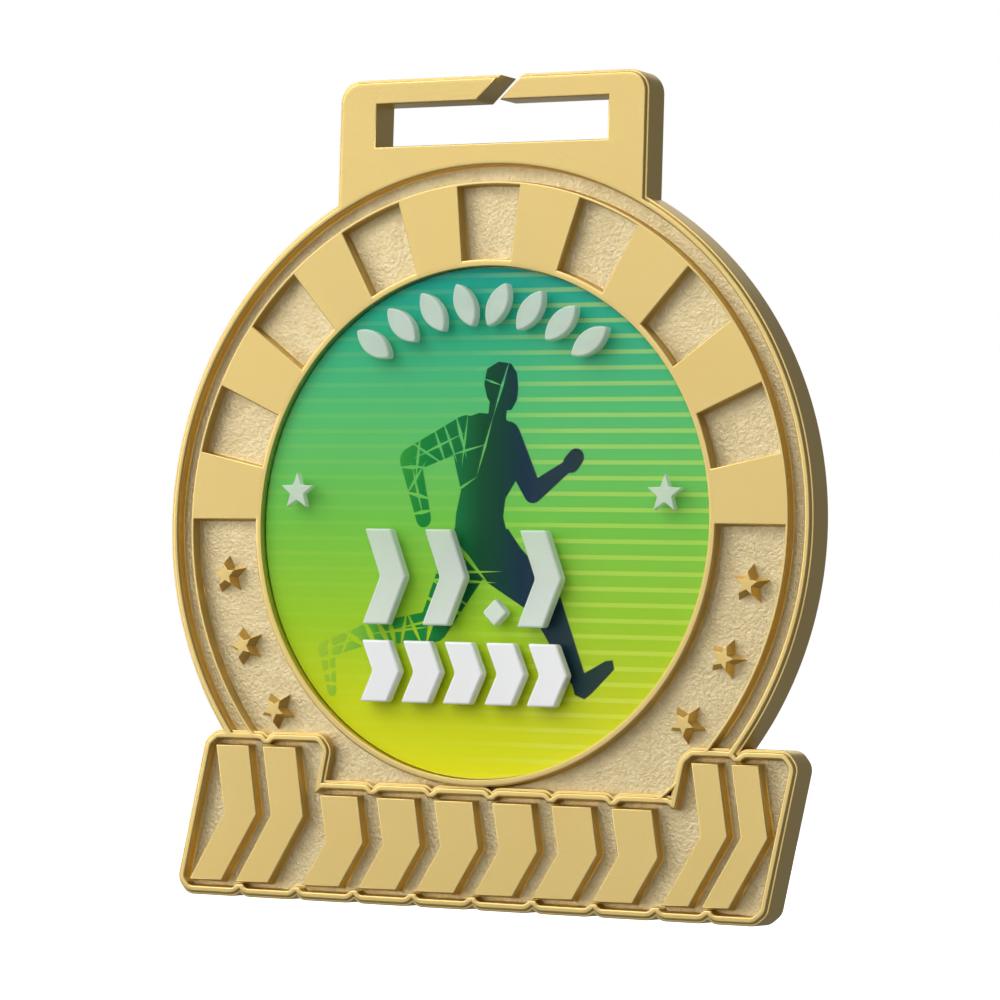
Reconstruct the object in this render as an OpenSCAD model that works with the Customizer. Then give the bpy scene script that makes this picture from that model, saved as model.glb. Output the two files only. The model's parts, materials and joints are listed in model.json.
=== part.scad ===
// Race finisher medal: a gold-plated die casting with a ribbon slot at the top,
// a ring of raised blocks and stars, a stepped nameplate across the foot, and a
// round printed insert under clear resin that carries separate raised marks.
//
// The medal stands upright: +Z is up towards the ribbon and the front faces -Y.
// The origin is the centre of the ribbon slot, halfway through the casting.

/* [Casting] */
// Thickness of the casting over its raised faces
cast_t = 3.6; // [3:0.1:5]
// Depth of the recessed fields below the raised faces
relief = 1.2; // [0.8:0.1:1.5]
// Width of the small step around the front edge
step_w = 0.25; // [0.1:0.05:0.4]
// Height of the small step around the front edge
step_h = 0.3; // [0.1:0.05:0.5]
// Width of the band of blocks and stars, from the bezel to the ridge
band_w = 7.4; // [6:0.1:9]
// Width of the raised rim around the disc, step included
rim_w = 0.95; // [0.7:0.05:1.5]
// Width of the sunk channel inside the rim
channel_w = 1.6; // [1:0.1:2.5]
// Width of the thin ridge inside the channel
ridge_w = 0.35; // [0.3:0.05:0.8]
// Number of recesses over the upper half, with a block each side of every one
recess_count = 7; // [3:2:9]

/* [Ribbon tab] */
// Width of the tab
tab_w = 35.2; // [28:0.2:42]
// Radius of the tab's upper corners
tab_corner_r = 2.2; // [1:0.1:4]
// Length of the ribbon slot, for a 25 mm ribbon
slot_w = 26.4; // [20:0.2:27]
// Height of the ribbon slot
slot_h = 4.3; // [4.2:0.1:6]
// Height of the bar above the slot
bar_h = 2.5; // [2:0.1:4]
// Metal between the slot and the disc's edge at the centre line
slot_to_disc = 1.25; // [0.8:0.05:3]
// Width of the slanted slit that lets the ribbon in
slit_w = 2.65; // [2:0.05:3.5]
// Lean of the slit from upright, in degrees
slit_lean = 46; // [30:1:55]

/* [Insert] */
// Diameter of the printed insert, a standard 2 inch centre
insert_d = 50.8; // [42:0.2:61]
// Gap between the insert and its pocket wall
insert_gap = 0.1; // [0.05:0.05:0.3]
// Width of the flush bezel around the insert
bezel_w = 0.7; // [0.5:0.1:1.5]
// Thickness of the adhesive film
adhesive_t = 0.15; // [0.1:0.05:0.3]
// How far the adhesive film stops short of the insert's edge
adhesive_inset = 0.6; // [0.3:0.1:1.5]
// Thickness of the printed disc
print_t = 0.5; // [0.3:0.1:0.8]
// Thickness of the clear resin, which ends flush with the bezel
resin_t = 0.85; // [0.6:0.05:1]

/* [Raised marks on the insert] */
// Height of the marks above the resin
mark_h = 1.0; // [0.6:0.1:1.5]
// Height of the two small stars above the resin
small_star_h = 0.7; // [0.4:0.1:1]
// Radius of the two small stars over their points
small_star_r = 2.0; // [1.5:0.1:2.5]
// Distance of the small stars' centres from the insert's edge
small_star_inset = 4.5; // [3.5:0.1:6]
// Height of the small stars' centres above the insert's centre
small_star_rise = 2.9; // [0:0.1:6]
// Number of leaves in the garland
leaf_count = 8; // [4:2:10]
// Length of a garland leaf
leaf_len = 4.8; // [3.8:0.1:5.8]
// Width of a garland leaf
leaf_w = 2.3; // [1.8:0.1:2.8]
// Distance of the leaves' centres from the insert's edge
leaf_inset = 3.8; // [3:0.1:5]
// Angle between neighbouring leaves, in degrees
leaf_pitch = 9.9; // [9:0.1:14]
// Lean of each leaf away from the middle, in degrees
leaf_lean = 20; // [0:1:35]
// Height of the tall marks
tall_mark_h = 9.6; // [8:0.1:11.5]
// Stroke width of the tall marks
tall_mark_stroke = 3.0; // [2.4:0.1:3.6]
// Width of the small diamond that stands among the tall marks
diamond_w = 2.8; // [2.4:0.1:3.4]
// Distance from one tall mark to the next
tall_pitch = 6.9; // [5.9:0.1:7.4]
// Distance of both rows' left edge from the insert's middle
rows_left = 12.6; // [11:0.1:13.5]
// Height of the row marks
row_mark_h = 6.2; // [5:0.1:7.4]
// Stroke width of the row marks
row_mark_stroke = 3.2; // [2.6:0.1:3.6]
// Distance from one row mark to the next
row_pitch = 4.75; // [4.1:0.05:5.6]
// Gap between the two rows of marks
row_gap = 1.55; // [1:0.05:2.5]
// Distance of the lowest row's foot from the insert's lower edge
row_edge_gap = 7.3; // [6:0.1:9]

/* [Stars on the casting] */
// Radius of a cast star over its points, at its base
star_r = 2.0; // [1.6:0.1:2.4]
// Distance of the cast stars' centres from the disc's edge
star_inset = 6.3; // [5.5:0.1:7]
// Angle of the first star below the horizontal, in degrees
star_first = 10.8; // [8:0.2:13]
// Angle between neighbouring cast stars, in degrees
star_pitch = 14.4; // [12:0.2:15]
// Turn of the first star from upright, in degrees; the next ones turn on by the pitch
star_turn = 5.4; // [0:0.2:72]

/* [Nameplate] */
// Width of the plate's row of short marks, up to the right tall end
short_row_w = 40.8; // [34:0.2:49]
// Distance of that row's middle to the right of the disc's middle
short_row_shift = 2.4; // [0:0.1:4]
// Number of short marks
short_count = 6; // [4:1:8]
// Height of the short marks
short_h = 9.2; // [7.6:0.1:11]
// Stroke width of the short marks
short_stroke = 4.5; // [3.6:0.1:5.4]
// Height of the tall marks at both ends
end_h = 13.9; // [12.2:0.1:16.6]
// Width of the left tall end
left_end_w = 12.2; // [10.2:0.1:14.6]
// Stroke width of its two marks
left_end_stroke = 4.0; // [3:0.1:4.6]
// Width of the right tall end
right_end_w = 9.9; // [8.6:0.1:12.2]
// Stroke width of its two marks
right_end_stroke = 3.0; // [2.4:0.1:3.6]
// Gap between neighbouring cells of the plate
cell_gap = 1.3; // [1:0.1:1.8]
// Lean of the plate from upright, in degrees
plate_lean = 11.3; // [5:0.1:15]
// Distance from the marks to the plate's outer edge
plate_margin = 1.5; // [1.3:0.1:2]
// Width of the plate's raised border, step included
border_w = 0.9; // [0.7:0.05:1.1]

/* [Back] */
// Diameter of the sunk round field on the back
back_field_d = 51; // [40:0.5:56]
// Depth of the sunk round field on the back
back_field_depth = 0.3; // [0.1:0.05:0.4]

/* [Hidden] */
TALL_MARKS = 4;
ROW_MARKS = 5;
$fn = 96;

gold = "#dcc886";
mark_white = "#e4ece4";

// The round body, from the insert outwards
insert_r = insert_d / 2;
pocket_r = insert_r + insert_gap;
bezel_r = pocket_r + bezel_w;
channel_in_r = bezel_r + band_w + ridge_w;
disc_r = channel_in_r + channel_w + rim_w;
pocket_depth = adhesive_t + print_t + resin_t;
floor_z = cast_t - relief;
pocket_z = cast_t - pocket_depth;

// Heights on the disc's vertical centre line, from the disc's centre
slot_bottom = disc_r + slot_to_disc;
slot_top = slot_bottom + slot_h;
slot_mid = (slot_bottom + slot_top) / 2;
tab_top = slot_top + bar_h;

// The upper half is cut into equal steps: recess, block, recess, block ...
recess_step = 180 / (2 * recess_count + 1);

// The plate hangs from the bezel, which its border just overlaps
bezel_overlap = 0.05;
plate_low_top = bezel_overlap - bezel_r;
marks_foot = plate_low_top - plate_margin - short_h;
plate_mid = marks_foot + end_h / 2;
end_marks_top = marks_foot + end_h;
cell_pitch = short_row_w / short_count;
short_left = short_row_shift - short_row_w / 2;
right_end_left = short_left + short_row_w;
left_end_left = short_left - cell_gap - left_end_w;
// How far a chevron's point runs ahead of its arms
short_point = 1.8;
end_point = 2.6;
tall_point = 1.9;
row_point = 1.35;

// Rows on the insert
row_foot = row_edge_gap - insert_r;
tall_foot = row_foot + row_mark_h + row_gap;
diamond_gap = 1.1;
tall_steps = [0, tall_pitch, 2 * tall_pitch, 2 * tall_pitch + diamond_w + diamond_gap];

// Waist of a five-pointed star, as a share of its radius
cast_star_waist = 0.46;
small_star_waist = 0.42;
// Size of a cast star's top, as a share of its base
star_taper = 0.6;
// Left edge of the slit's foot, from the middle of the slot
slit_left = -1.7;
// Corner cut off each cell of the plate
cell_corner = 0.4;
// How far a cutter runs past the face that it cuts
cut = 1;
// How far a star's base is sunk into the floor that it stands on
sink = 0.01;
// Sides of a full circle where the outline is rounded by an offset
round_fn = 40;

// A point moved sideways by the plate's lean, about the plate's middle height
function lean(p) = [p[0] + (p[1] - plate_mid) * tan(plate_lean), p[1]];

// Corners of a right-pointing chevron: left edge x, foot y, stroke, height, point depth
function chevron(x, y, stroke, h, point) = [
    [x, y], [x + stroke, y], [x + stroke + point, y + h / 2],
    [x + stroke, y + h], [x, y + h], [x + point, y + h / 2]];

// Corners of a five-pointed star about the origin, turned by a given angle
function star(r, waist, turn) = [
    for (i = [0:9]) let (a = 90 + turn + 36 * i, d = i % 2 == 0 ? r : r * waist)
        [d * cos(a), d * sin(a)]];

// Stands the flat drawing upright, front towards -Y, with the slot at the origin
module upright() {
    translate([0, cast_t / 2, -slot_mid])
        rotate([90, 0, 0]) children();
}

module ring_2d(r_out, r_in) {
    difference() {
        circle(r = r_out);
        circle(r = r_in);
    }
}

// Pie slice between two compass angles, measured clockwise from straight up
module slice_2d(from, to) {
    reach = 2 * disc_r;
    mid = (from + to) / 2;
    polygon([[0, 0],
        [reach * sin(from), reach * cos(from)],
        [reach * sin(mid), reach * cos(mid)],
        [reach * sin(to), reach * cos(to)]]);
}

module tab_2d(inset) {
    half = tab_w / 2 - inset;
    r = tab_corner_r - inset;
    top = tab_top - inset;
    translate([-half, 0]) square([2 * half, top - r]);
    translate([r - half, 0]) square([2 * (half - r), top]);
    for (side = [-1, 1])
        translate([side * (half - r), top - r]) circle(r = r);
}

// Ribbon slot and the slanted slit above it
module slot_2d() {
    drift = tan(slit_lean);
    low = slot_top - cut / 2;
    high = tab_top + cut;
    translate([-slot_w / 2, slot_bottom]) square([slot_w, slot_h]);
    polygon([
        [slit_left - drift * cut / 2, low],
        [slit_left - drift * cut / 2 + slit_w, low],
        [slit_left + drift * (high - slot_top) + slit_w, high],
        [slit_left + drift * (high - slot_top), high]]);
}

// One cell of the plate: the leaning block that a mark fills, corners cut off
module cell_2d(x, w, h) {
    c = cell_corner;
    y = marks_foot;
    polygon([for (p = [[x + c, y], [x + w - c, y], [x + w, y + c], [x + w, y + h - c],
        [x + w - c, y + h], [x + c, y + h], [x, y + h - c], [x, y + c]]) lean(p)]);
}

module cells_2d() {
    left_w = (left_end_w - cell_gap) / 2;
    right_w = (right_end_w - cell_gap) / 2;
    for (i = [0:1]) {
        cell_2d(left_end_left + i * (left_w + cell_gap), left_w, end_h);
        cell_2d(right_end_left + i * (right_w + cell_gap), right_w, end_h);
    }
    for (i = [0:short_count - 1])
        cell_2d(short_left + i * cell_pitch, cell_pitch - cell_gap, short_h);
}

// Plate outline, taken in from its outer edge by inset
module plate_2d(inset) {
    offset(r = -inset, $fn = round_fn)
        offset(r = plate_margin, $fn = round_fn) cells_2d();
}

// A run of equal chevrons that together fill the width w
module chevron_run_2d(x, w, count, stroke, h, point) {
    pitch = (w - stroke - point) / (count - 1);
    for (i = [0:count - 1])
        polygon([for (p = chevron(x + i * pitch, marks_foot, stroke, h, point)) lean(p)]);
}

// Raised chevrons on the plate: a tall pair at each end and a row between
module plate_marks_2d() {
    chevron_run_2d(left_end_left, left_end_w, 2, left_end_stroke, end_h, end_point);
    chevron_run_2d(right_end_left, right_end_w, 2, right_end_stroke, end_h, end_point);
    chevron_run_2d(short_left, short_row_w - cell_gap, short_count, short_stroke, short_h, short_point);
}

// Silhouette of the whole casting, taken in by inset
module outline_2d(inset) {
    difference() {
        union() {
            circle(r = disc_r - inset, $fn = 180);
            tab_2d(inset);
            plate_2d(inset);
        }
        slot_2d();
    }
}

// Blocks that stand up between the recesses, down to the horizontal centre line
module blocks_2d() {
    intersection() {
        ring_2d(channel_in_r, pocket_r);
        union() for (side = [-1, 1], i = [0:(recess_count - 1) / 2])
            slice_2d(side * recess_step * (2 * i + 0.5), side * recess_step * (2 * i + 1.5));
    }
}

// Rim and ridge around the disc, which end inside the plate's tall ends
module rim_and_ridge_2d() {
    intersection() {
        union() {
            ring_2d(disc_r, disc_r - rim_w);
            ring_2d(channel_in_r, channel_in_r - ridge_w);
        }
        translate([-2 * disc_r, end_marks_top]) square(4 * disc_r);
    }
}

// Everything that stands at full height around the disc
module ring_relief_2d() {
    rim_and_ridge_2d();
    ring_2d(bezel_r, pocket_r);
    blocks_2d();
    difference() {
        tab_2d(0);
        circle(r = disc_r - rim_w / 2);
    }
}

module relief_2d() {
    difference() {
        union() {
            difference() {
                ring_relief_2d();
                plate_2d(0);
            }
            difference() {
                plate_2d(0);
                plate_2d(border_w);
            }
            plate_marks_2d();
        }
        slot_2d();
        circle(r = pocket_r);
    }
}

module cast_stars() {
    reach = disc_r - star_inset;
    for (side = [-1, 1], i = [0:2]) {
        a = star_first + i * star_pitch;
        turn = -side * (star_turn + i * star_pitch);
        translate([side * reach * cos(a), -reach * sin(a), floor_z - sink])
            linear_extrude(height = relief + sink, scale = star_taper)
                polygon(star(star_r, cast_star_waist, turn));
    }
}

module medal_casting() {
    color(gold) upright() {
        difference() {
            union() {
                linear_extrude(height = floor_z) outline_2d(0);
                linear_extrude(height = cast_t - step_h) relief_2d();
                intersection() {
                    linear_extrude(height = cast_t) relief_2d();
                    linear_extrude(height = cast_t + cut) outline_2d(step_w);
                }
                cast_stars();
            }
            translate([0, 0, pocket_z])
                cylinder(r = pocket_r, h = pocket_depth + cut);
            translate([0, 0, -cut])
                cylinder(d = back_field_d, h = back_field_depth + cut);
        }
    }
}

module adhesive_film() {
    color("#f2efe6") upright()
        translate([0, 0, pocket_z])
            cylinder(r = insert_r - adhesive_inset, h = adhesive_t);
}

module printed_disc() {
    color("#7cc04c") upright()
        translate([0, 0, pocket_z + adhesive_t])
            cylinder(r = insert_r, h = print_t);
}

module clear_resin() {
    color("#9fd8a8", 0.5) upright()
        translate([0, 0, pocket_z + adhesive_t + print_t])
            cylinder(r = insert_r, h = resin_t);
}

module small_star(side) {
    color(mark_white) upright()
        translate([side * (insert_r - small_star_inset), small_star_rise, cast_t])
            linear_extrude(height = small_star_h) polygon(star(small_star_r, small_star_waist, 0));
}

// Pointed oval: the overlap of two equal circles
module leaf_2d() {
    r = (leaf_len * leaf_len + leaf_w * leaf_w) / (4 * leaf_w);
    intersection() {
        translate([r - leaf_w / 2, 0]) circle(r = r);
        translate([leaf_w / 2 - r, 0]) circle(r = r);
    }
}

module garland_leaf(i) {
    place = (i - 0.5 - leaf_count / 2) * leaf_pitch;
    side = place < 0 ? -1 : 1;
    color(mark_white) upright()
        rotate([0, 0, -place])
            translate([0, insert_r - leaf_inset, cast_t])
                rotate([0, 0, -side * leaf_lean])
                    linear_extrude(height = mark_h) leaf_2d();
}

// Tall marks: two chevrons, a small diamond at their foot, and a third chevron
module tall_mark(i) {
    x = tall_steps[i - 1] - rows_left;
    half = diamond_w / 2;
    color(mark_white) upright()
        translate([0, 0, cast_t])
            linear_extrude(height = mark_h)
                if (i == 3)
                    polygon([[x + half, tall_foot], [x + 2 * half, tall_foot + half],
                        [x + half, tall_foot + 2 * half], [x, tall_foot + half]]);
                else
                    polygon(chevron(x, tall_foot, tall_mark_stroke, tall_mark_h, tall_point));
}

module row_mark(i) {
    x = (i - 1) * row_pitch - rows_left;
    color(mark_white) upright()
        translate([0, 0, cast_t])
            linear_extrude(height = mark_h)
                polygon(chevron(x, row_foot, row_mark_stroke, row_mark_h, row_point));
}

medal_casting();
adhesive_film();
printed_disc();
clear_resin();
small_star(-1);  // star_left
small_star(1);  // star_right
for (i = [1:leaf_count])
    garland_leaf(i);
for (i = [1:TALL_MARKS])
    tall_mark(i);
for (i = [1:ROW_MARKS])
    row_mark(i);
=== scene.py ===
"""Race finisher medal: the finished look of every piece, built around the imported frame."""
import json
import math
import random

import bpy
from mathutils import Matrix, Vector

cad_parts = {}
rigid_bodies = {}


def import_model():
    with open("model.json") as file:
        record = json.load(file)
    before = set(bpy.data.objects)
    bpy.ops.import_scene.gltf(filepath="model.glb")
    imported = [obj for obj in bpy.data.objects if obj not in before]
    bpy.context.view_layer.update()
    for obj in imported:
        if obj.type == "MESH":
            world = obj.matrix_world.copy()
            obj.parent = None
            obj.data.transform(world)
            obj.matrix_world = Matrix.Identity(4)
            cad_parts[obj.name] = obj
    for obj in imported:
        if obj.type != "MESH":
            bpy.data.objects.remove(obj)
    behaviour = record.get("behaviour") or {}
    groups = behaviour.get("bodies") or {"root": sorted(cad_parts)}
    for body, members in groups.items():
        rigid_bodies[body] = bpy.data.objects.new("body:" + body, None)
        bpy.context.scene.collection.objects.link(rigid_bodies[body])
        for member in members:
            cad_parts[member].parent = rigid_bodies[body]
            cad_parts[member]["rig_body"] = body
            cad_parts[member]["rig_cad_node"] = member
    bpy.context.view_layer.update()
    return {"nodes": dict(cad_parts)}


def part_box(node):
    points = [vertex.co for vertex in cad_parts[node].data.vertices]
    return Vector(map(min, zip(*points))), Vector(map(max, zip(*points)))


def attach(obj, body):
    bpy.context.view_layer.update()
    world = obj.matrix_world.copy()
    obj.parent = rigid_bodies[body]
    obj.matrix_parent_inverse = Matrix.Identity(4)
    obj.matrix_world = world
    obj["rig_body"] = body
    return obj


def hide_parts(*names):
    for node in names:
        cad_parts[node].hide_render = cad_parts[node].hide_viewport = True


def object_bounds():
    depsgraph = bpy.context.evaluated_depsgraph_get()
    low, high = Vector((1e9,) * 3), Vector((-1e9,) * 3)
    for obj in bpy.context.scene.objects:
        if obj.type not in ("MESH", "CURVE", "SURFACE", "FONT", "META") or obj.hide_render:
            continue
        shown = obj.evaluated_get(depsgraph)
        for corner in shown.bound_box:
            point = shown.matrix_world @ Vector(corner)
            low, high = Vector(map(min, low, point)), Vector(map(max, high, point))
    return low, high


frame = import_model()

MM = 0.001

# The insert, whose centre is the centre of the round body
PRINT_LOW, PRINT_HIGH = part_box("printed_disc")
INSERT_R = (PRINT_HIGH.x - PRINT_LOW.x) / 2
CENTRE_Z = (PRINT_HIGH.z + PRINT_LOW.z) / 2
PRINT_FRONT = PRINT_LOW.y

# What two lengths may differ by and still count as equal
NEAR = 0.02 * MM

# The sizes below are in millimetres and start from the middle of the round body.
# Levels through the casting's thickness, with the front at the low end
BACK_MM, FRONT_MM, FIELD_MM, STEP_MM = 1.8, -1.8, -0.6, -1.5
POCKET_FLOOR_MM, BACK_FIELD_MM = -0.3, 1.5

# The round body, from its flat middle out to its edge
CORE_R, POCKET_MM, BACK_FIELD_R, BEZEL_R = 20, 25.5, 25.5, 26.2
CHANNEL_IN_R, RIDGE_W, DISC_R, RIM_W, STEP_W = 33.95, 0.35, 36.5, 0.95, 0.25

# How far edges, the feet of walls and the small step are rounded
EDGE, BACK_EDGE, HOLLOW, STEP_EDGE, STEP_FOOT = 0.18, 0.2, 0.2, 0.08, 0.06

# How far a raised shape goes down into its field, and a cutter runs past a face
BURIED, PAST = 0.15, 0.5

# The ribbon tab with its slot and its leaning slit
SLOT_W, SLOT_LOW, SLOT_HIGH = 26.4, 37.75, 42.05
TAB_W, TAB_TOP, TAB_CORNER, TAB_FOOT = 35.2, 44.55, 2.2, 5
SLIT_LEFT, SLIT_W, SLIT_LEAN = -1.7, 2.65, 46

# The band: blocks and gaps in equal steps over half a turn, then three stars on each side
STEPS_OVER_HALF, BLOCKS_PER_SIDE = 15, 4
CAST_STARS_PER_SIDE, CAST_STAR_R, CAST_STAR_WAIST, CAST_STAR_INSET = 3, 2.0, 0.46, 6.3
CAST_STAR_FIRST, CAST_STAR_PITCH, CAST_STAR_TURN = 10.8, 14.4, 5.4

# The nameplate: a row of short cells between two tall cells at each end
MARKS_FOOT, SHORT_H, END_H, END_COUNT = -36.85, 9.2, 13.9, 2
PLATE_LEAN, PLATE_MARGIN, BORDER_W, CELL_GAP, CELL_CORNER = 11.3, 1.5, 0.9, 1.3, 0.4
SHORT_LEFT, SHORT_ROW_W, SHORT_COUNT = -18.0, 40.8, 6
LEFT_END_W, RIGHT_END_W, NECK_SPARE = 12.2, 9.9, 0.17
LEFT_STROKE, SHORT_STROKE, RIGHT_STROKE, END_POINT, SHORT_POINT = 4.0, 4.5, 3.0, 2.6, 1.8

# Rounded edges of the raised marks on the resin
LEAF_EDGE, BIG_MARK_EDGE, SMALL_STAR_EDGE = 0.22, 0.25, 0.12

# In front of the print: where the ink starts, how thick it is, and where the resin starts
INK_GAP, INK_T, RESIN_GAP = 0.005, 0.01, 0.025


# ---------------------------------------------------------------- camera and light

def set_camera():
    azimuth, elevation, roll = 29.262, -2.192, 1.658
    distance = 447.6 * MM
    aim = Vector((0, 2.4 * MM, -37.5 * MM))
    turn = (Matrix.Rotation(math.radians(azimuth), 4, "Z")
            @ Matrix.Rotation(math.radians(90 - elevation), 4, "X")
            @ Matrix.Rotation(math.radians(roll), 4, "Z"))
    data = bpy.data.cameras.new("camera")
    data.sensor_width = 36
    data.lens = 161.27
    data.clip_start = 0.01
    camera = bpy.data.objects.new("camera", data)
    camera.matrix_world = Matrix.Translation(aim) @ turn @ Matrix.Translation((0, 0, distance))
    bpy.context.scene.collection.objects.link(camera)
    bpy.context.scene.camera = camera


def linear(hex_colour):
    """sRGB hex to a linear RGBA tuple."""
    parts = [int(hex_colour[i:i + 2], 16) / 255 for i in (1, 3, 5)]
    return tuple(c / 12.92 if c <= 0.04045 else ((c + 0.055) / 1.055) ** 2.4 for c in parts) + (1,)


def add_node(tree, kind, inputs=None, **settings):
    """Adds a node with its settings; an input is a value, or a socket that it is linked from."""
    made = tree.nodes.new(kind)
    for key, value in settings.items():
        setattr(made, key, value)
    for key, value in (inputs or {}).items():
        if isinstance(value, bpy.types.NodeSocket):
            tree.links.new(value, made.inputs[key])
        else:
            made.inputs[key].default_value = value
    return made


def softbox(name, azimuth, elevation, distance, width, height, strength):
    """A white rectangular light aimed at the medal: angles in degrees, lengths in metres."""
    aim = Vector((0, 0, CENTRE_Z))
    turn = (Matrix.Rotation(math.radians(azimuth), 4, "Z")
            @ Matrix.Rotation(math.radians(90 - elevation), 4, "X"))
    data = bpy.data.lights.new(name, "AREA")
    data.shape = "RECTANGLE"
    data.size = width
    data.size_y = height
    # Radiance of a one-sided panel: power over pi and area
    data.energy = strength * math.pi * width * height
    lamp = bpy.data.objects.new(name, data)
    lamp.matrix_world = Matrix.Translation(aim) @ turn @ Matrix.Translation((0, 0, distance))
    bpy.context.scene.collection.objects.link(lamp)
    return lamp


def set_world():
    """White to the eye; a dim, slightly cool surround for everything that it lights."""
    world = bpy.data.worlds.new("studio")
    bpy.context.scene.world = world
    world.use_nodes = True
    tree = world.node_tree
    tree.nodes.clear()
    path = add_node(tree, "ShaderNodeLightPath")
    surround = add_node(tree, "ShaderNodeBackground", {"Color": linear("#F4F6FF"), "Strength": 0.2})
    white = add_node(tree, "ShaderNodeBackground", {"Color": (1, 1, 1, 1), "Strength": 1.0})
    both = add_node(tree, "ShaderNodeMixShader",
                    {0: path.outputs["Is Camera Ray"], 1: surround.outputs[0], 2: white.outputs[0]})
    add_node(tree, "ShaderNodeOutputWorld", {"Surface": both.outputs[0]})


def set_lights():
    softbox("key_panel", -38, 42, 0.9, 0.7, 0.5, 2.4)
    softbox("front_panel", -14, 4, 1.0, 0.52, 0.9, 0.9)
    softbox("left_panel", -58, 10, 0.9, 0.6, 0.8, 1.7)
    softbox("top_panel", 0, 80, 0.8, 0.6, 0.4, 1.0)
    softbox("rear_panel", 205, 15, 1.0, 0.7, 0.7, 0.9)
    # Lifts the print and the marks without a reflection in the gold
    fill = softbox("fill_panel", 5, 25, 0.9, 0.9, 0.9, 1.35)
    fill.visible_glossy = False


def make_floor():
    """A pale sheet 30 mm under the medal, which hangs by its slot."""
    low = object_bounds()[0][2]
    bpy.ops.mesh.primitive_plane_add(size=8, location=(0, 0, low - 30 * MM))
    floor = bpy.context.object
    floor.name = "floor"
    material = bpy.data.materials.new("white_paper_sheet")
    material.use_nodes = True
    shader = material.node_tree.nodes["Principled BSDF"]
    shader.inputs["Base Color"].default_value = linear("#F7F7F7")
    shader.inputs["Roughness"].default_value = 0.9
    shader.inputs["Emission Color"].default_value = (1, 1, 1, 1)
    shader.inputs["Emission Strength"].default_value = 1.0
    floor.data.materials.append(material)
    floor.visible_glossy = False
    floor.visible_diffuse = False


# ---------------------------------------------------------------- materials

def new_material(name):
    material = bpy.data.materials.new(name)
    material.use_nodes = True
    return material, material.node_tree.nodes["Principled BSDF"]


def shine(shader, **values):
    """Sets sockets of the shader that are the same all over: metallic=1 sets Metallic."""
    for key, value in values.items():
        shader.inputs[key.replace("_", " ").title().replace("Ior", "IOR")].default_value = value


def fill_ramp(ramp, stops):
    """Gives a ramp its colours, each at a position from 0 to 1."""
    elements = ramp.elements
    while len(elements) < len(stops):
        elements.new(0.5)
    for element, (at, tone) in zip(elements, stops):
        element.position = at
        element.color = linear(tone)


def satin_gold():
    """Gold plate over a tumbled zinc casting: a soft metallic sheen with a faint even tooth."""
    material, shader = new_material("satin_gold_plate_on_cast_zinc")
    shine(shader, metallic=1.0)
    tree = material.node_tree
    place = add_node(tree, "ShaderNodeTexCoord").outputs["Object"]
    # Tumbling media leave marks of about 0.1 mm, drawn at 0.28 mm so that they show
    tooth = add_node(tree, "ShaderNodeTexNoise",
                     {"Vector": place, "Scale": 1 / (0.28 * MM), "Detail": 3.0, "Roughness": 0.55})
    # Plating thickness drifts slowly over centimetres
    drift = add_node(tree, "ShaderNodeTexNoise",
                     {"Vector": place, "Scale": 1 / (14 * MM), "Detail": 2.0, "Roughness": 0.55})
    colour = add_node(tree, "ShaderNodeMix",
                      {"Factor": drift.outputs["Fac"], 6: linear("#EFD48C"), 7: linear("#E6C87C")},
                      data_type="RGBA")
    polish = add_node(tree, "ShaderNodeMapRange",
                      {"Value": drift.outputs["Fac"], "From Min": 0.3, "From Max": 0.7,
                       "To Min": 0.34, "To Max": 0.42})
    bump = add_node(tree, "ShaderNodeBump",
                    {"Height": tooth.outputs["Fac"], "Distance": 0.012 * MM, "Strength": 1.0})
    tree.links.new(colour.outputs[2], shader.inputs["Base Color"])
    tree.links.new(polish.outputs["Result"], shader.inputs["Roughness"])
    tree.links.new(bump.outputs[0], shader.inputs["Normal"])
    return material


def sandblasted_gold():
    """The same plate over a field blasted with coarse grit: paler, and it sparkles in grains."""
    material, shader = new_material("gold_plate_on_grit_blasted_zinc")
    shine(shader, metallic=1.0)
    tree = material.node_tree
    place = add_node(tree, "ShaderNodeTexCoord").outputs["Object"]
    # Grit dimples are about 0.25 mm across, drawn at 0.36 mm so that they show
    dimples = add_node(tree, "ShaderNodeTexNoise",
                       {"Vector": place, "Scale": 1 / (0.36 * MM), "Detail": 4.0, "Roughness": 0.6})
    patches = add_node(tree, "ShaderNodeTexNoise",
                       {"Vector": place, "Scale": 1 / (1.6 * MM), "Detail": 2.0, "Roughness": 0.55})
    colour = add_node(tree, "ShaderNodeMix",
                      {"Factor": dimples.outputs["Fac"], 6: linear("#DEC68A"), 7: linear("#FAEBC4")},
                      data_type="RGBA")
    polish = add_node(tree, "ShaderNodeMapRange",
                      {"Value": patches.outputs["Fac"], "From Min": 0.3, "From Max": 0.7,
                       "To Min": 0.46, "To Max": 0.58})
    bump = add_node(tree, "ShaderNodeBump",
                    {"Height": dimples.outputs["Fac"], "Distance": 0.12 * MM, "Strength": 1.0})
    tree.links.new(colour.outputs[2], shader.inputs["Base Color"])
    tree.links.new(polish.outputs["Result"], shader.inputs["Roughness"])
    tree.links.new(bump.outputs[0], shader.inputs["Normal"])
    return material


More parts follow.
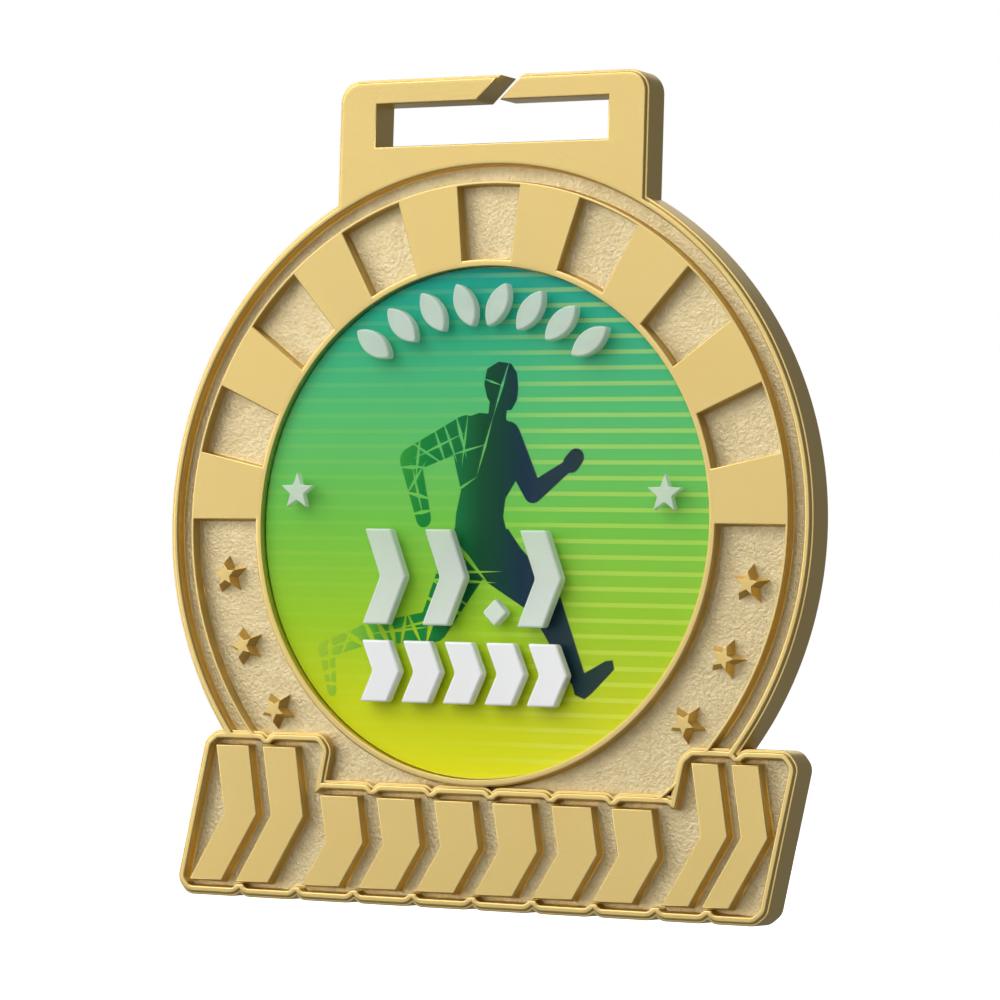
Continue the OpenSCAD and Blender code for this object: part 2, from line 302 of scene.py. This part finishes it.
def printed_film():
    """UV-cured ink on a vinyl disc: a fade from teal down to yellow with fine stripes."""
    material, shader = new_material("uv_printed_vinyl_fade")
    shine(shader, roughness=0.5, specular_ior_level=0.1, coat_weight=0.15, coat_roughness=0.03)
    tree = material.node_tree
    place = add_node(tree, "ShaderNodeTexCoord").outputs["Object"]
    axes = add_node(tree, "ShaderNodeSeparateXYZ", {"Vector": place})
    height = add_node(tree, "ShaderNodeMapRange",
                      {"Value": axes.outputs["Z"], "From Min": CENTRE_Z - INSERT_R,
                       "From Max": CENTRE_Z + INSERT_R, "To Min": 0, "To Max": 1})
    fade = add_node(tree, "ShaderNodeValToRGB", {"Fac": height.outputs["Result"]})
    fill_ramp(fade.color_ramp, (
        (0.0, "#E6E410"), (0.14, "#C8D40E"), (0.3, "#9CCB22"), (0.5, "#72C444"),
        (0.72, "#54BE6E"), (0.88, "#2AAE84"), (1.0, "#0C9C8C")))
    # One pale stripe every 1.55 mm, faint on the left and clearer towards the right
    pitch = 1.55 * MM
    phase = add_node(tree, "ShaderNodeMath", {0: axes.outputs["Z"], 1: pitch, 2: 0}, operation="WRAP")
    stripe = add_node(tree, "ShaderNodeMath", {0: phase.outputs[0], 1: 0.28 * pitch},
                      operation="LESS_THAN")
    side = add_node(tree, "ShaderNodeMapRange",
                    {"Value": axes.outputs["X"], "From Min": -2 * MM, "From Max": 10 * MM,
                     "To Min": 0.05, "To Max": 0.32})
    pale = add_node(tree, "ShaderNodeMath", {0: stripe.outputs[0], 1: side.outputs["Result"]},
                    operation="MULTIPLY")
    lines = add_node(tree, "ShaderNodeMix",
                     {"Factor": pale.outputs[0], 6: fade.outputs["Color"], 7: linear("#E4EE66")},
                     data_type="RGBA")
    tree.links.new(lines.outputs[2], shader.inputs["Base Color"])
    return material


def runner_ink():
    """A second pass of ink: leaf green at the trailing side, dark blue-green at the leading one."""
    material, shader = new_material("uv_printed_ink_runner")
    shine(shader, roughness=0.5, specular_ior_level=0.1, coat_weight=0.15, coat_roughness=0.03)
    tree = material.node_tree
    place = add_node(tree, "ShaderNodeTexCoord").outputs["Object"]
    axes = add_node(tree, "ShaderNodeSeparateXYZ", {"Vector": place})
    across = add_node(tree, "ShaderNodeMapRange",
                      {"Value": axes.outputs["X"], "From Min": -20 * MM, "From Max": 16 * MM,
                       "To Min": 0, "To Max": 1})
    colour = add_node(tree, "ShaderNodeValToRGB", {"Fac": across.outputs["Result"]})
    fill_ramp(colour.color_ramp, (
        (0.0, "#A6C62C"), (0.14, "#86BC2E"), (0.25, "#38A034"), (0.36, "#0A8434"), (0.47, "#067036"),
        (0.55, "#034A28"), (0.6, "#03402E"), (0.68, "#082C40"), (0.84, "#123038"), (1.0, "#1C3A28")))
    tree.links.new(colour.outputs["Color"], shader.inputs["Base Color"])
    return material


def clear_cast_resin():
    """Doming resin poured level with the bezel: all but invisible, with a wet gloss."""
    material, shader = new_material("clear_poured_epoxy")
    shine(shader, base_color=linear("#F4FBF8"), roughness=0.05, ior=1.5, alpha=0.05,
          transmission_weight=1.0)
    return material


def milky_acrylic():
    """Moulded acrylic with a little white in it: the print glows through, most of all high up."""
    material, shader = new_material("moulded_translucent_acrylic")
    shine(shader, base_color=linear("#ECF7E8"), roughness=0.22, ior=1.49,
          coat_weight=0.6, coat_roughness=0.06)
    tree = material.node_tree
    place = add_node(tree, "ShaderNodeTexCoord").outputs["Object"]
    axes = add_node(tree, "ShaderNodeSeparateXYZ", {"Vector": place})
    cover = add_node(tree, "ShaderNodeMapRange",
                     {"Value": axes.outputs["Z"], "From Min": CENTRE_Z - 10 * MM,
                      "From Max": CENTRE_Z - 1 * MM, "To Min": 0.84, "To Max": 0.58})
    tree.links.new(cover.outputs["Result"], shader.inputs["Alpha"])
    return material


def white_acrylic():
    """Moulded acrylic pigmented white: solid, with glossy rounded edges."""
    material, shader = new_material("moulded_white_acrylic")
    shine(shader, base_color=linear("#FAFBF8"), roughness=0.25, ior=1.49, alpha=0.96,
          coat_weight=0.6, coat_roughness=0.06)
    return material


def adhesive():
    """Acrylic transfer tape: soft, slightly yellow and dull."""
    material, shader = new_material("acrylic_transfer_tape")
    shine(shader, base_color=linear("#EFEBDC"), roughness=0.6)
    return material


# ---------------------------------------------------------------- pieces

def pick(thing):
    """Selects one object and makes it active."""
    bpy.ops.object.select_all(action="DESELECT")
    thing.select_set(True)
    bpy.context.view_layer.objects.active = thing


def welded_copy(node, name):
    """A copy of a CAD node with its doubles merged and its flat faces joined up."""
    piece = frame["nodes"][node].copy()
    piece.data = piece.data.copy()
    piece.data.materials.clear()
    piece.name = name
    piece.data.name = name
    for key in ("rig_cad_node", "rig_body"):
        if key in piece:
            del piece[key]
    piece.parent = None
    bpy.context.scene.collection.objects.link(piece)
    pick(piece)
    bpy.ops.object.mode_set(mode="EDIT")
    bpy.ops.mesh.select_all(action="SELECT")
    bpy.ops.mesh.remove_doubles(threshold=0.001 * MM)
    bpy.ops.mesh.dissolve_limited(angle_limit=math.radians(0.3))
    bpy.ops.object.mode_set(mode="OBJECT")
    bpy.ops.mesh.customdata_custom_splitnormals_clear()
    return piece


def edge_turns(mesh):
    """For each edge: how far its faces turn in degrees, negative where they make a hollow."""
    faces = {}
    for polygon in mesh.polygons:
        for loop in polygon.loop_indices:
            faces.setdefault(mesh.loops[loop].edge_index, []).append(polygon)
    turns = []
    for edge in mesh.edges:
        pair = faces.get(edge.index, [])
        if len(pair) != 2:
            turns.append(0)
            continue
        first, second = pair
        angle = math.degrees(first.normal.angle(second.normal, 0))
        start = mesh.vertices[edge.vertices[0]].co
        hollow = (second.center - start).dot(first.normal) > 0
        turns.append(-angle if hollow else angle)
    return turns


def round_edges(piece, widths, segments):
    """Bevels each edge of piece by its own width in metres."""
    widest = max(widths)
    mesh = piece.data
    weights = mesh.attributes.new("bevel_weight_edge", "FLOAT", "EDGE")
    weights.data.foreach_set("value", [w / widest for w in widths])
    pick(piece)
    bevel = piece.modifiers.new("round", "BEVEL")
    bevel.limit_method = "WEIGHT"
    bevel.width = widest
    bevel.segments = segments
    bevel.use_clamp_overlap = False
    bevel.miter_outer = "MITER_ARC"
    bevel.material = -1
    bpy.ops.object.modifier_apply(modifier="round")


def even_normals(piece):
    """Smooth round edges beside flat faces that stay flat."""
    pick(piece)
    bpy.ops.object.shade_smooth_by_angle(angle=math.radians(50))
    keep = piece.modifiers.new("even", "WEIGHTED_NORMAL")
    keep.weight = 60
    keep.keep_sharp = True
    bpy.ops.object.modifier_apply(modifier="even")


def offset_outline(outline, outset):
    """An anticlockwise outline with each of its sides moved outwards by outset."""
    moved = []
    for i, here in enumerate(outline):
        before = (here - outline[i - 1]).normalized()
        after = (outline[(i + 1) % len(outline)] - here).normalized()
        out_a = Vector((before.y, -before.x))
        out_b = Vector((after.y, -after.x))
        moved.append(here + outset * (out_a + out_b) / (1 + out_a.dot(out_b)))
    return moved


def round_outline(corners, radius, steps=4):
    """The outline at distance radius outside a convex anticlockwise polygon."""
    outline = []
    for i, here in enumerate(corners):
        before = (here - corners[i - 1]).normalized()
        after = (corners[(i + 1) % len(corners)] - here).normalized()
        start = math.atan2(-before.x, before.y)
        sweep = (math.atan2(-after.x, after.y) - start) % math.tau
        for step in range(steps + 1):
            angle = start + sweep * step / steps
            outline.append(here + radius * Vector((math.cos(angle), math.sin(angle))))
    return outline


def rounded(corners, steps=3):
    """A profile through square (across, level, radius) corners, each rounded by its radius."""
    path = []
    for i, (across, level, radius) in enumerate(corners):
        here = Vector((across, level))
        if radius == 0:
            path.append(here)
            continue
        back = (Vector(corners[i - 1][:2]) - here).normalized()
        ahead = (Vector(corners[i + 1][:2]) - here).normalized()
        for step in range(steps + 1):
            angle = math.pi / 2 * step / steps
            path.append(here + radius * (back * (1 - math.sin(angle)) + ahead * (1 - math.cos(angle))))
    return path


def loft(name, loops):
    """A closed shell through (level, outline) loops in millimetres, from the back to the front."""
    count = len(loops[0][1])
    points = [(p.x * MM, level * MM, CENTRE_Z + p.y * MM) for level, outline in loops for p in outline]
    faces = [tuple(reversed(range(count)))]
    for k in range(len(loops) - 1):
        low, high = k * count, (k + 1) * count
        for i in range(count):
            j = (i + 1) % count
            faces.append((low + i, low + j, high + j, high + i))
    faces.append(tuple(range((len(loops) - 1) * count, len(loops) * count)))
    mesh = bpy.data.meshes.new(name)
    mesh.from_pydata(points, [], faces)
    piece = bpy.data.objects.new(name, mesh)
    bpy.context.scene.collection.objects.link(piece)
    return piece


def raise_up(name, outline, profile):
    """The shell of an outline whose sides follow a profile of (outset, level) points."""
    return loft(name, [(point.y, offset_outline(outline, point.x)) for point in profile])


def combine(piece, other, operation):
    """Adds other to piece, or cuts it away, and leaves one closed shell."""
    pick(piece)
    step = piece.modifiers.new("combine", "BOOLEAN")
    step.operation = operation
    step.solver = "MANIFOLD"
    step.object = other
    bpy.ops.object.modifier_apply(modifier="combine")
    mesh = other.data
    bpy.data.objects.remove(other)
    bpy.data.meshes.remove(mesh)


def ring(radius, count=240):
    return [Vector((radius * math.cos(math.tau * i / count), radius * math.sin(math.tau * i / count)))
            for i in range(count)]


def body_of_disc():
    """The turned part: back field, edge, rim, channel, ridge, band, bezel and pocket."""
    # Each corner is its radius from the centre, its level and how far it is rounded
    profile = rounded([
        (CORE_R, BACK_FIELD_MM, 0), (BACK_FIELD_R, BACK_FIELD_MM, 0.1), (BACK_FIELD_R, BACK_MM, 0.12),
        (DISC_R, BACK_MM, BACK_EDGE), (DISC_R, STEP_MM, STEP_EDGE),
        (DISC_R - STEP_W, STEP_MM, STEP_FOOT), (DISC_R - STEP_W, FRONT_MM, 0.2),
        (DISC_R - RIM_W, FRONT_MM, 0.24),
        (DISC_R - RIM_W, FIELD_MM, HOLLOW), (CHANNEL_IN_R, FIELD_MM, HOLLOW),
        (CHANNEL_IN_R, FRONT_MM, 0.12), (CHANNEL_IN_R - RIDGE_W, FRONT_MM, 0.12),
        (CHANNEL_IN_R - RIDGE_W, FIELD_MM, HOLLOW), (BEZEL_R, FIELD_MM, HOLLOW),
        (BEZEL_R, FRONT_MM, EDGE), (POCKET_MM, FRONT_MM, 0.05), (POCKET_MM, POCKET_FLOOR_MM, 0),
        (CORE_R, POCKET_FLOOR_MM, 0)])
    return loft("disc", [(point.y, ring(point.x)) for point in profile])


def wall_profile():
    """Outer wall: rounded back edge, small step and rounded front edge."""
    inner = -0.7
    return rounded([(inner, BACK_MM, 0), (0, BACK_MM, BACK_EDGE), (0, STEP_MM, STEP_EDGE),
                    (-STEP_W, STEP_MM, STEP_FOOT), (-STEP_W, FRONT_MM, EDGE), (inner, FRONT_MM, 0)])


def boss_profile():
    """Something raised: its foot spreads into the field and its top edge is rounded."""
    path = rounded([(1, FIELD_MM, 0), (0, FIELD_MM, HOLLOW), (0, FRONT_MM, EDGE), (-1, FRONT_MM, 0)])
    return [Vector((HOLLOW, FIELD_MM + BURIED))] + path[1:-1]


def sunk_profile():
    """The cutter of something sunk, from its floor to clear of the front."""
    path = rounded([(-0.4, FIELD_MM, 0), (0, FIELD_MM, HOLLOW), (0, FRONT_MM, EDGE), (1, FRONT_MM, 0)])
    return path[:-1] + [Vector((EDGE, FRONT_MM - PAST))]


def through_profile():
    """The cutter of a hole right through, with both its edges rounded."""
    path = rounded([(1, BACK_MM, 0), (0, BACK_MM, EDGE), (0, FRONT_MM, EDGE), (1, FRONT_MM, 0)])
    return [Vector((EDGE, BACK_MM + PAST))] + path[1:-1] + [Vector((EDGE, FRONT_MM - PAST))]


def block_loop(first, last, outset):
    """Outline of a block between two compass angles in degrees; its ends lie in bezel and ridge."""
    into_bezel, steps = 0.2, 8
    inner, outer = POCKET_MM + into_bezel, CHANNEL_IN_R - RIDGE_W / 2
    loop = []
    for radius, order in ((inner, 1), (outer, -1)):
        spare = math.degrees(outset / radius)
        start, end = (first - spare, last + spare)[::order]
        for i in range(steps + 1):
            angle = math.radians(start + (end - start) * i / steps)
            loop.append(Vector((radius * math.sin(angle), radius * math.cos(angle))))
    return loop


def leaned(x, y):
    """A point of the plate, moved sideways by the plate's lean about its middle height."""
    middle = MARKS_FOOT + END_H / 2
    return Vector((x + (y - middle) * math.tan(math.radians(PLATE_LEAN)), y))


def cell_corners(x, width, height, spare=0.0):
    """A leaning cell with its corners cut off; spare widens it upwards and downwards."""
    c, low, high = CELL_CORNER, MARKS_FOOT - spare, MARKS_FOOT + height + spare
    return [leaned(*p) for p in ((x + c, low), (x + width - c, low), (x + width, low + c),
                                 (x + width, high - c), (x + width - c, high), (x + c, high),
                                 (x, high - c), (x, low + c))]


def plate_cells():
    """Left edge, width and height of every cell of the plate, from left to right."""
    pitch = SHORT_ROW_W / SHORT_COUNT
    left_w = (LEFT_END_W - (END_COUNT - 1) * CELL_GAP) / END_COUNT
    right_w = (RIGHT_END_W - (END_COUNT - 1) * CELL_GAP) / END_COUNT
    left = SHORT_LEFT - CELL_GAP - LEFT_END_W
    right = SHORT_LEFT + SHORT_ROW_W
    cells = [(left + i * (left_w + CELL_GAP), left_w, END_H) for i in range(END_COUNT)]
    cells += [(SHORT_LEFT + i * pitch, pitch - CELL_GAP, SHORT_H) for i in range(SHORT_COUNT)]
    return cells + [(right + i * (right_w + CELL_GAP), right_w, END_H)
                    for i in range(END_COUNT)]


def chevrons():
    """Outline of every raised chevron of the plate."""
    outlines = []
    left_end = SHORT_LEFT - CELL_GAP - LEFT_END_W
    runs = ((left_end, LEFT_END_W, END_COUNT, LEFT_STROKE, END_H, END_POINT),
            (SHORT_LEFT, SHORT_ROW_W - CELL_GAP, SHORT_COUNT, SHORT_STROKE, SHORT_H, SHORT_POINT),
            (SHORT_LEFT + SHORT_ROW_W, RIGHT_END_W, END_COUNT, RIGHT_STROKE, END_H, END_POINT))
    for left, width, count, stroke, height, point in runs:
        pitch = (width - stroke - point) / (count - 1)
        for i in range(count):
            x, y = left + i * pitch, MARKS_FOOT
            outlines.append([leaned(*p) for p in (
                (x, y), (x + stroke, y), (x + stroke + point, y + height / 2),
                (x + stroke, y + height), (x, y + height), (x + point, y + height / 2))])
    return outlines


def star_outline(radius, waist, turn):
    """A five-pointed star, turned by turn degrees; waist is the share of radius at its hollows."""
    outline = []
    for i in range(10):
        angle = math.radians(90 + turn + 36 * i)
        reach = radius if i % 2 == 0 else radius * waist
        outline.append(Vector((math.cos(angle), math.sin(angle))) * reach)
    return outline


def add_tab(piece):
    half, corner = TAB_W / 2 - TAB_CORNER, TAB_TOP - TAB_CORNER
    tab_corners = [Vector(p) for p in ((-half, TAB_FOOT), (half, TAB_FOOT),
                                       (half, corner), (-half, corner))]
    tab = raise_up("tab", round_outline(tab_corners, TAB_CORNER, 8), wall_profile())
    # The tab ends in the middle of the rim, so that it doesn't fill the channel
    body = loft("body", [(level, ring(DISC_R - RIM_W / 2)) for level in (4, -4)])
    combine(tab, body, "DIFFERENCE")
    combine(piece, tab, "UNION")


def add_plate(piece):
    cells = plate_cells()
    for x, width, height in cells:
        outline = round_outline(cell_corners(x, width, height), PLATE_MARGIN)
        combine(piece, raise_up("cell", outline, wall_profile()), "UNION")
    for x, width, height in cells:
        outline = round_outline(cell_corners(x, width, height), PLATE_MARGIN - BORDER_W)
        combine(piece, raise_up("floor", outline, sunk_profile()), "DIFFERENCE")
    # Between two cells the floor runs on, less far up and down than in the cells
    for (x, width, height), (next_x, next_width, next_height) in zip(cells, cells[1:]):
        start, end = x + width / 2, next_x + next_width / 2
        outline = cell_corners(start, end - start, min(height, next_height), NECK_SPARE)
        combine(piece, raise_up("neck", outline, sunk_profile()), "DIFFERENCE")
    for outline in chevrons():
        combine(piece, raise_up("chevron", outline, boss_profile()), "UNION")


def add_blocks(piece):
    turn = 180 / STEPS_OVER_HALF
    for side in (-1, 1):
        for i in range(BLOCKS_PER_SIDE):
            first, last = sorted((side * turn * (2 * i + 0.5), side * turn * (2 * i + 1.5)))
            loops = [(p.y, block_loop(first, last, p.x)) for p in boss_profile()]
            combine(piece, loft("block", loops), "UNION")


def add_cast_stars(piece):
    reach = DISC_R - CAST_STAR_INSET
    # From a spread foot up to a rounded top: the share of the star's size, and the level
    sides = ((1.06, FIELD_MM + BURIED), (1.03, FIELD_MM), (0.97, FIELD_MM - 0.1),
             (0.66, FRONT_MM + 0.14), (0.61, FRONT_MM + 0.03), (0.54, FRONT_MM))
    for side in (-1, 1):
        for i in range(CAST_STARS_PER_SIDE):
            angle = math.radians(CAST_STAR_FIRST + CAST_STAR_PITCH * i)
            place = Vector((side * reach * math.cos(angle), -reach * math.sin(angle)))
            turn = -side * (CAST_STAR_TURN + CAST_STAR_PITCH * i)
            outline = star_outline(CAST_STAR_R, CAST_STAR_WAIST, turn)
            loops = [(level, [place + p * size for p in outline]) for size, level in sides]
            combine(piece, loft("star", loops), "UNION")


def cut_slot(piece):
    half = SLOT_W / 2
    slot = [Vector(p) for p in ((-half, SLOT_LOW), (half, SLOT_LOW),
                                (half, SLOT_HIGH), (-half, SLOT_HIGH))]
    combine(piece, raise_up("slot", slot, through_profile()), "DIFFERENCE")
    drift = math.tan(math.radians(SLIT_LEAN))
    low, high = SLOT_HIGH - PAST, TAB_TOP + 2 * PAST
    left_low, left_high = (SLIT_LEFT + drift * (z - SLOT_HIGH) for z in (low, high))
    slit = [Vector(p) for p in ((left_low, low), (left_low + SLIT_W, low),
                                (left_high + SLIT_W, high), (left_high, high))]
    combine(piece, raise_up("slit", slit, through_profile()), "DIFFERENCE")


def make_casting(satin, blasted):
    """The whole casting as one closed shell with every edge and corner softened, as cast."""
    piece = body_of_disc()
    piece.name = "casting_shell"
    add_tab(piece)
    add_plate(piece)
    add_blocks(piece)
    add_cast_stars(piece)
    cut_slot(piece)
    mesh = piece.data
    mesh.name = "casting_shell"
    mesh.materials.clear()
    mesh.materials.append(satin)
    mesh.materials.append(blasted)
    for polygon in mesh.polygons:
        radius = math.hypot(polygon.center.x, polygon.center.z - CENTRE_Z)
        in_front = abs(polygon.center.y - FIELD_MM * MM) < NEAR and polygon.normal.y < -0.9
        behind = abs(polygon.center.y - BACK_FIELD_MM * MM) < NEAR and polygon.normal.y > 0.9
        polygon.material_index = 1 if (in_front and radius > POCKET_MM * MM) or behind else 0
    even_normals(piece)
    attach(piece, "root")
    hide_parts("medal_casting")


def make_mark(node, material, edge_radius):
    """A raised mark with rounded edges, in place of its plain CAD solid."""
    # Edges that turn by less than this many degrees are left as they are
    least_turn = 25
    piece = welded_copy(node, node + "_moulding")
    mesh = piece.data
    base = max(v.co.y for v in mesh.vertices)
    widths = []
    for edge, turn in zip(mesh.edges, edge_turns(mesh)):
        at_base = all(abs(mesh.vertices[i].co.y - base) < NEAR for i in edge.vertices)
        sharp = abs(turn) > least_turn and not at_base
        widths.append(edge_radius * MM if sharp else 0)
    round_edges(piece, widths, 3)
    mesh = piece.data
    mesh.materials.append(material)
    even_normals(piece)
    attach(piece, "root")
    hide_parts(node)


def make_resin(material):
    """The poured layer, a hair clear of the ink under it."""
    radius = INSERT_R / MM
    low = PRINT_FRONT / MM - RESIN_GAP
    profile = rounded([(radius - 1, low, 0), (radius, low, 0.05), (radius, FRONT_MM, 0.08),
                       (radius - 1, FRONT_MM, 0)])
    piece = loft("resin_layer", [(point.y, ring(point.x, 160)) for point in profile])
    piece.data.materials.append(material)
    even_normals(piece)
    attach(piece, "root")
    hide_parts("clear_resin")


def limb(start, end, start_r, end_r):
    """Outline of a tapered limb with round ends."""
    a, b = Vector(start), Vector(end)
    along = math.atan2(b.y - a.y, b.x - a.x)
    tilt = math.asin(max(-1, min(1, (start_r - end_r) / (b - a).length)))
    outline = []
    right, left = along - math.pi / 2 + tilt, along + math.pi / 2 - tilt
    steps = 8
    for place, radius, first, last in ((b, end_r, right, left), (a, start_r, left, right + math.tau)):
        for i in range(steps + 1):
            angle = first + (last - first) * i / steps
            outline.append(place + radius * Vector((math.cos(angle), math.sin(angle))))
    return outline


def gap_outline(start, end, width):
    """A sliver that is widest in its middle and pointed at both ends."""
    a, b = Vector(start), Vector(end)
    side = Vector((b.y - a.y, a.x - b.x)).normalized() * width / 2
    return [a, (a + b) / 2 + side, b, (a + b) / 2 - side]


def cracks_along(start, end, count, reach, width, seed):
    """Crossing cracks along a limb, each at its own slant."""
    dice = random.Random(seed)
    a, b = Vector(start), Vector(end)
    along = (b - a).normalized()
    across = Vector((-along.y, along.x))
    cracks = []
    for i in range(count):
        middle = a + (b - a) * (i + 0.5 + dice.uniform(-0.2, 0.2)) / count
        slant = dice.uniform(-0.9, 0.9)
        arm = (across + along * slant) * reach
        cracks.append(gap_outline(middle - arm, middle + arm, width * dice.uniform(0.7, 1.4)))
    return cracks


def make_runner(material):
    """A plain striding figure in ink, its trailing arm and leg breaking up into shards."""
    # Outlines in millimetres from the middle of the print
    torso = ((-3.2, -1.6), (2.9, -1.4), (2.3, 0.6), (2.5, 2.4), (3.9, 4.6), (4.4, 7.0), (3.5, 9.0),
             (2.4, 10.2), (0.9, 10.8), (-0.8, 10.9), (-3.0, 10.2), (-3.9, 8.2), (-3.3, 5.6),
             (-2.6, 3.2), (-3.1, 0.8))
    head = ((0.1, 12.4), (1.1, 11.0), (2.9, 11.2), (3.5, 12.2), (3.6, 13.4), (3.4, 14.9), (2.7, 15.8),
            (1.3, 16.0), (0.0, 15.3), (-0.3, 13.8))
    neck = ((0.2, 10.0), (2.3, 10.0), (2.4, 11.8), (0.4, 12.0))
    shorts = ((-4.4, -4.6), (-1.8, -6.0), (0.8, -4.6), (3.6, -6.6), (6.4, -5.0), (2.9, -0.6), (-3.2, -0.6))
    shoe = ((10.2, -14.6), (10.9, -16.8), (12.0, -17.2), (12.8, -16.6), (15.2, -14.2), (15.0, -13.3),
            (14.2, -13.4), (12.0, -14.6))
    # Each limb runs from a point to a point, and has a radius at each
    solid_limbs = (((2.5, 8.6), (5.6, 3.0), 1.5, 1.05), ((5.6, 3.0), (9.5, 5.7), 1.05, 0.6),
                   ((9.8, 5.9), (10.3, 6.5), 0.95, 0.9), ((1.0, -3.0), (7.2, -7.6), 2.7, 1.8),
                   ((7.2, -7.6), (11.3, -15.4), 1.8, 0.85))
    broken_arm = (((-2.2, 9.0), (-8.5, 6.2), 1.7, 1.25), ((-8.5, 6.2), (-6.8, 0.3), 1.2, 0.85))
    broken_leg = (((-1.4, -3.0), (-5.2, -10.2), 2.8, 1.7), ((-5.2, -10.4), (-13.4, -11.4), 1.6, 1.0),
                  ((-13.4, -11.5), (-17.8, -13.0), 1.0, 0.9), ((-17.6, -13.2), (-16.9, -17.2), 0.9, 0.5))

    def slab(outline):
        return loft("part", [(level, outline) for level in (1, -1)])

    piece = slab([Vector(p) for p in torso])
    for outline in (head, neck, shorts, shoe):
        combine(piece, slab([Vector(p) for p in outline]), "UNION")
    for shape in solid_limbs + broken_arm + broken_leg:
        combine(piece, slab(limb(*shape)), "UNION")
    cracks = [gap_outline((2.6, 16.4), (0.8, 10.4), 0.3), gap_outline((0.9, 10.8), (-0.9, 4.4), 0.28),
              gap_outline((-0.7, 4.6), (-4.0, 2.6), 0.26), gap_outline((-2.0, 11.2), (-2.6, 5.4), 0.26),
              gap_outline((-4.2, 6.6), (0.2, 7.8), 0.24), gap_outline((-0.6, 14.4), (1.8, 13.6), 0.22)]
    for number, (start, end, start_r, _) in enumerate(broken_arm + broken_leg):
        reach = 1.5 * start_r
        count = max(3, int((Vector(end) - Vector(start)).length / 1.25))
        cracks += cracks_along(start, end, count, reach, 0.3 + 0.06 * number, 11 + number)
        cracks.append(gap_outline(start, end, 0.28))
    for crack in cracks:
        combine(piece, slab(crack), "DIFFERENCE")
    base = PRINT_FRONT / MM - INK_GAP
    for vertex in piece.data.vertices:
        vertex.co.y = (base if vertex.co.y > 0 else base - INK_T) * MM
    piece.name = "runner_ink"
    piece.data.name = "runner_ink"
    piece.data.materials.clear()
    piece.data.materials.append(material)
    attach(piece, "root")


def dress(node, material):
    """Gives a CAD node that stays in view its finish."""
    mesh = frame["nodes"][node].data
    mesh.materials.clear()
    mesh.materials.append(material)


# ---------------------------------------------------------------- the scene

set_camera()
set_world()
set_lights()
make_floor()
bpy.context.scene.view_settings.view_transform = "Standard"

milky = milky_acrylic()
white = white_acrylic()
make_casting(satin_gold(), sandblasted_gold())
dress("adhesive_film", adhesive())
dress("printed_disc", printed_film())
make_runner(runner_ink())
make_resin(clear_cast_resin())
for number in range(1, 9):
    make_mark(f"garland_leaf_{number}", milky, LEAF_EDGE)
for number in range(1, 5):
    make_mark(f"tall_mark_{number}", milky, BIG_MARK_EDGE)
for number in range(1, 6):
    make_mark(f"row_mark_{number}", white, BIG_MARK_EDGE)
for side in ("left", "right"):
    make_mark(f"star_{side}", milky, SMALL_STAR_EDGE)
